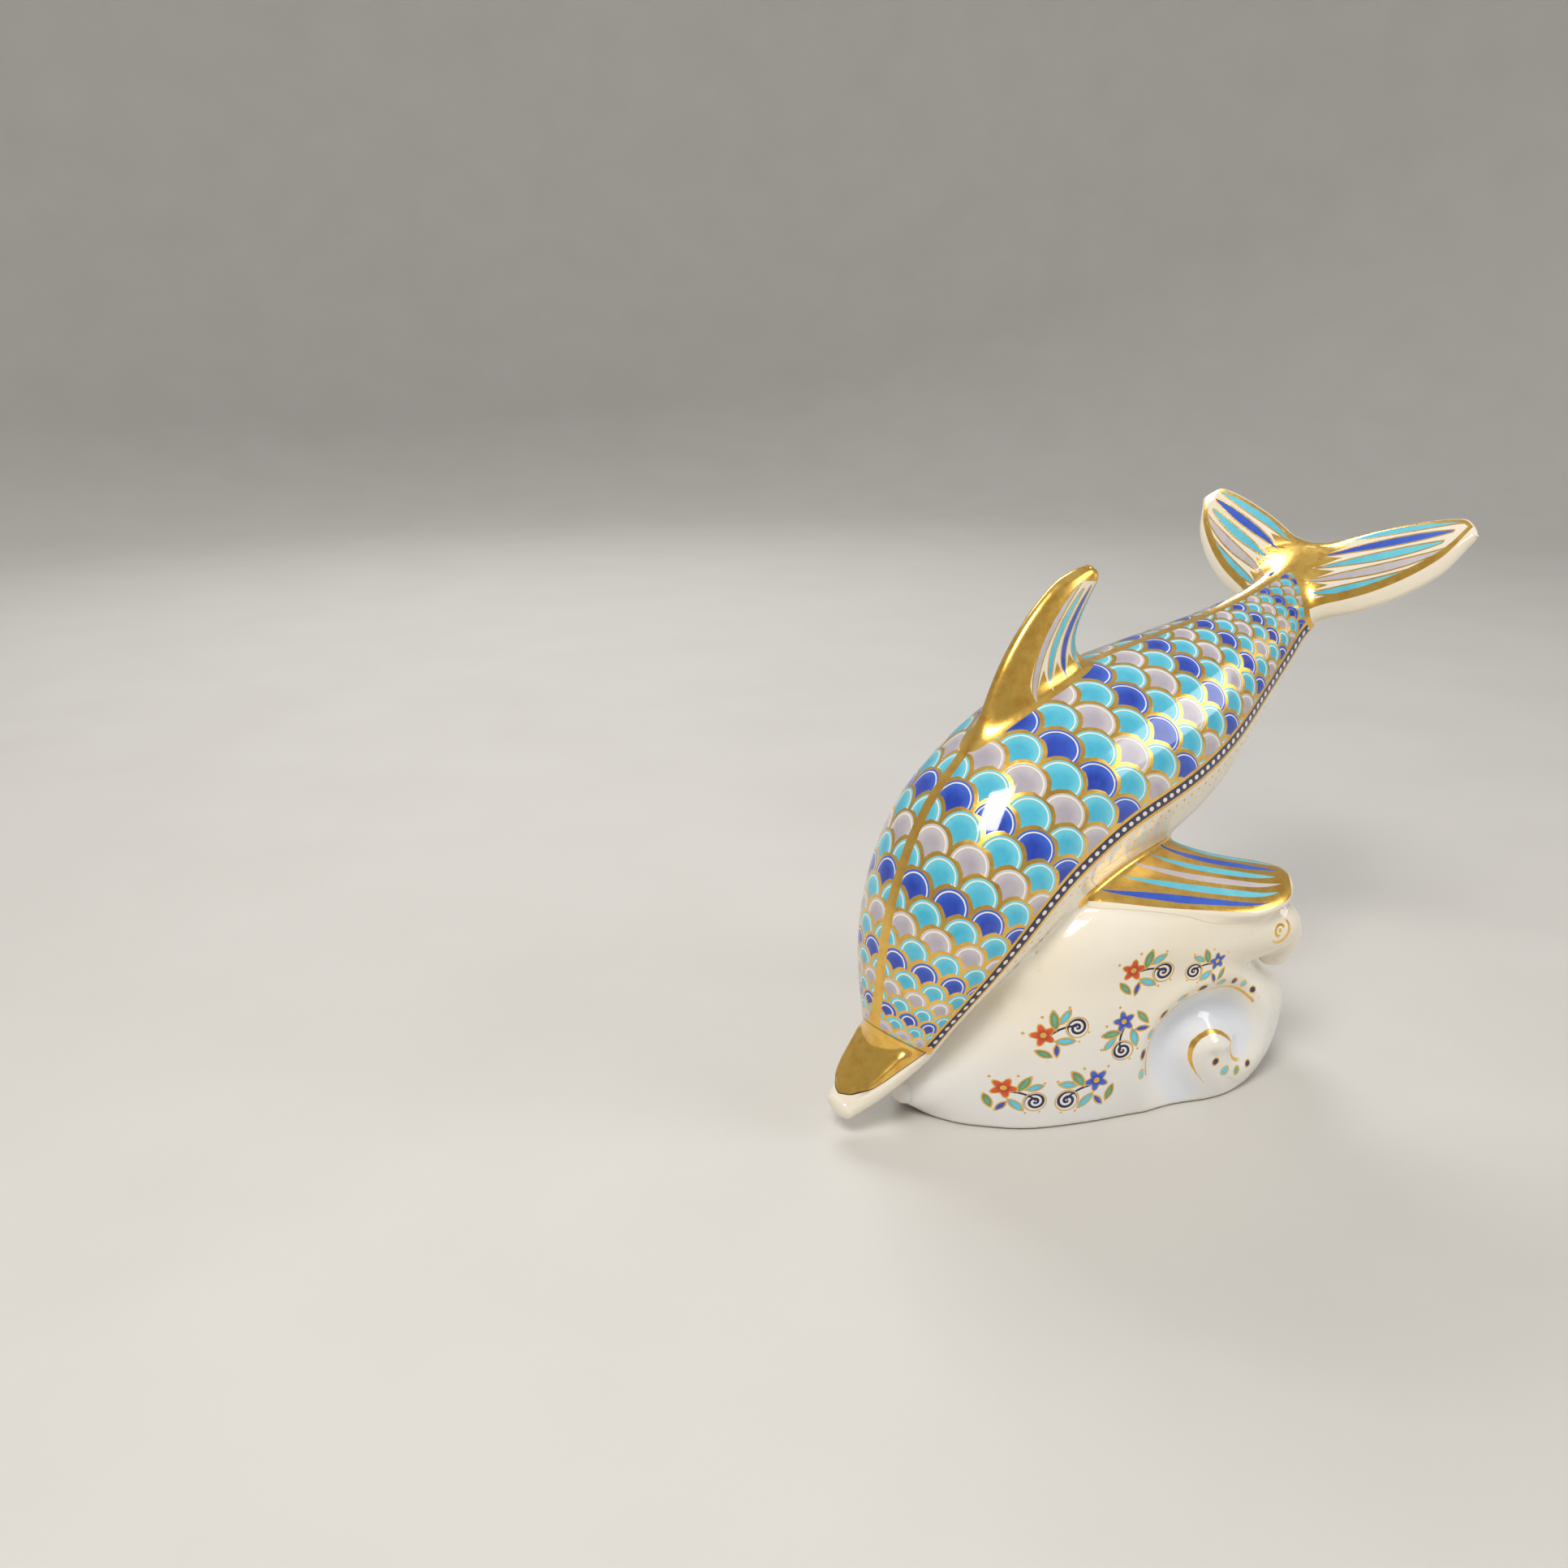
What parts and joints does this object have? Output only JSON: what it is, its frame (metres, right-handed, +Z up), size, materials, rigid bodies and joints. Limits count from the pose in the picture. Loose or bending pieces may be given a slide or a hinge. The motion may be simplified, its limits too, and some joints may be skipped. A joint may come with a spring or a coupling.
{
  "type": "dolphin paperweight",
  "caption": "Hollow glazed china paperweight shaped as a dolphin diving nose down over a curling wave, weighted with sand and closed underneath by a push-in plug.",
  "frame": {"origin": "on the table plane, under the middle of the overall length and width", "axes": "+Z up, +X from the beak towards the tail flukes, -Y towards the dolphin's left side"},
  "size_m": [0.1668, 0.0896, 0.145],
  "materials": {
    "enamelled_china": "gloss glaze over enamel colours and gilding",
    "gilded_china": "burnished gilding and enamel over gloss glaze",
    "white_china": "gloss glaze over warm white china",
    "stopper_plastic": "matt moulded plastic",
    "stopper_rubber": "soft matt",
    "dry_sand": "loose dry grains"
  },
  "bodies": {
    "figure": {"dolphin_body": "enamelled_china", "dorsal_fin": "gilded_china", "tail_flukes": "gilded_china", "left_flipper": "gilded_china", "right_flipper": "gilded_china", "wave_base": "white_china", "left_crest_curl": "white_china", "right_crest_curl": "white_china", "sand_fill": "dry_sand"},
    "stopper": {"stopper_disc": "stopper_plastic", "stopper_grip_ring": "stopper_rubber"}
  },
  "joints": [
    {"name": "stopper_pull", "type": "slide", "parent": "figure", "child": "stopper", "axis": [0, 0, -1], "range_m": [0, 0.012]}
  ]
}
